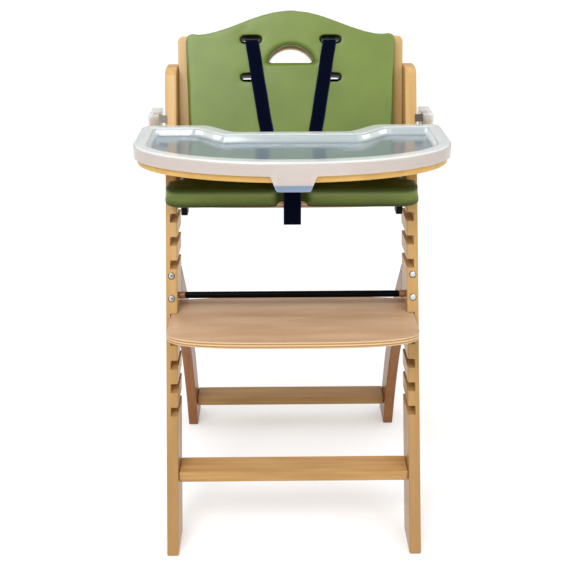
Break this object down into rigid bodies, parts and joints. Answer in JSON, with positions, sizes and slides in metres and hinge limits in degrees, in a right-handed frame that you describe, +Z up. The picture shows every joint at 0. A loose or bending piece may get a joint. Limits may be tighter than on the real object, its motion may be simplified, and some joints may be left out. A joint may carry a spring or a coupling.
{
  "type": "baby high chair",
  "caption": "Wooden high chair with grooved leaning legs, sliding seat and footrest, padded back, harness and a tray with a lift-off clear cover.",
  "frame": {"origin": "on the floor, under the middle of the chair's bounding box", "axes": "+Z up, the chair faces -Y, +X to the viewer's right when it is seen from the front"},
  "size_m": [0.528, 0.5136, 0.886],
  "materials": {
    "beech": "clear satin lacquer on beech",
    "plywood": "clear satin lacquer on beech plywood",
    "green_leather": "soft grained wipe-clean synthetic leather",
    "webbing": "close-woven polyester webbing",
    "black_metal": "satin black paint",
    "black_plastic": "fine matte grain",
    "steel": "bright zinc and chrome plate",
    "brown_plastic": "moulded, satin",
    "clear_plastic": "frosted translucent, smooth rim",
    "red_plastic": "moulded, glossy"
  },
  "bodies": {
    "chair_frame": {"left_leg": "beech", "right_leg": "beech", "left_rear_leg": "beech", "right_rear_leg": "beech", "front_stretcher": "beech", "rear_stretcher": "beech", "crossbar": "black_metal", "left_crossbar_collar": "brown_plastic", "right_crossbar_collar": "brown_plastic", "left_upper_leg_bolt": "steel", "left_lower_leg_bolt": "steel", "left_upper_barrel_nut": "steel", "left_lower_barrel_nut": "steel", "left_front_stretcher_bolt": "steel", "left_rear_stretcher_bolt": "steel", "right_upper_leg_bolt": "steel", "right_lower_leg_bolt": "steel", "right_upper_barrel_nut": "steel", "right_lower_barrel_nut": "steel", "right_front_stretcher_bolt": "steel", "right_rear_stretcher_bolt": "steel", "back_panel": "plywood", "back_cushion": "green_leather", "left_upper_back_bolt": "steel", "left_lower_back_bolt": "steel", "left_upper_slot_liner": "black_plastic", "left_lower_slot_liner": "black_plastic", "left_shoulder_strap": "webbing", "left_waist_strap": "webbing", "right_upper_back_bolt": "steel", "right_lower_back_bolt": "steel", "right_upper_slot_liner": "black_plastic", "right_lower_slot_liner": "black_plastic", "right_shoulder_strap": "webbing", "right_waist_strap": "webbing"},
    "seat": {"seat_plate": "plywood", "seat_cushion": "green_leather", "crotch_strap": "webbing", "buckle": "black_plastic"},
    "buckle_button": {"buckle_button": "red_plastic"},
    "footrest": {"footrest_plate": "plywood"},
    "tray": {"tray_board": "beech", "left_tray_arm": "beech", "right_tray_arm": "beech", "left_arm_cap": "clear_plastic", "right_arm_cap": "clear_plastic", "left_tray_catch": "steel", "right_tray_catch": "steel"},
    "tray_cover": {"tray_cover": "clear_plastic"},
    "left_seat_lock": {"left_seat_lock": "black_plastic"},
    "left_footrest_lock": {"left_footrest_lock": "black_plastic"},
    "left_tray_latch": {"left_tray_latch": "black_plastic"},
    "right_seat_lock": {"right_seat_lock": "black_plastic"},
    "right_footrest_lock": {"right_footrest_lock": "black_plastic"},
    "right_tray_latch": {"right_tray_latch": "black_plastic"}
  },
  "joints": [
    {"name": "seat_slide", "type": "slide", "parent": "chair_frame", "child": "seat", "axis": [0, -1, 0], "range_m": [0, 0.08]},
    {"name": "footrest_slide", "type": "slide", "parent": "chair_frame", "child": "footrest", "axis": [0, -1, 0], "range_m": [0, 0.08]},
    {"name": "tray_slide", "type": "slide", "parent": "chair_frame", "child": "tray", "axis": [0, -1, 0], "range_m": [0, 0.2]},
    {"name": "cover_lift", "type": "slide", "parent": "tray", "child": "tray_cover", "axis": [0, 0, 1], "range_m": [0, 0.06]},
    {"name": "buckle_press", "type": "slide", "parent": "seat", "child": "buckle_button", "axis": [0, 0.6428, -0.766], "range_m": [0, 0.0025], "stiffness_N_per_m": 700},
    {"name": "left_seat_lock_press", "type": "slide", "parent": "seat", "child": "left_seat_lock", "axis": [1, 0, 0], "range_m": [0, 0.006], "stiffness_N_per_m": 500},
    {"name": "left_footrest_lock_press", "type": "slide", "parent": "footrest", "child": "left_footrest_lock", "axis": [1, 0, 0], "range_m": [0, 0.006], "stiffness_N_per_m": 500},
    {"name": "left_tray_latch_press", "type": "slide", "parent": "tray", "child": "left_tray_latch", "axis": [-1, 0, 0], "range_m": [0, 0.004], "stiffness_N_per_m": 500},
    {"name": "right_seat_lock_press", "type": "slide", "parent": "seat", "child": "right_seat_lock", "axis": [-1, 0, 0], "range_m": [0, 0.006], "stiffness_N_per_m": 500},
    {"name": "right_footrest_lock_press", "type": "slide", "parent": "footrest", "child": "right_footrest_lock", "axis": [-1, 0, 0], "range_m": [0, 0.006], "stiffness_N_per_m": 500},
    {"name": "right_tray_latch_press", "type": "slide", "parent": "tray", "child": "right_tray_latch", "axis": [1, 0, 0], "range_m": [0, 0.004], "stiffness_N_per_m": 500}
  ]
}
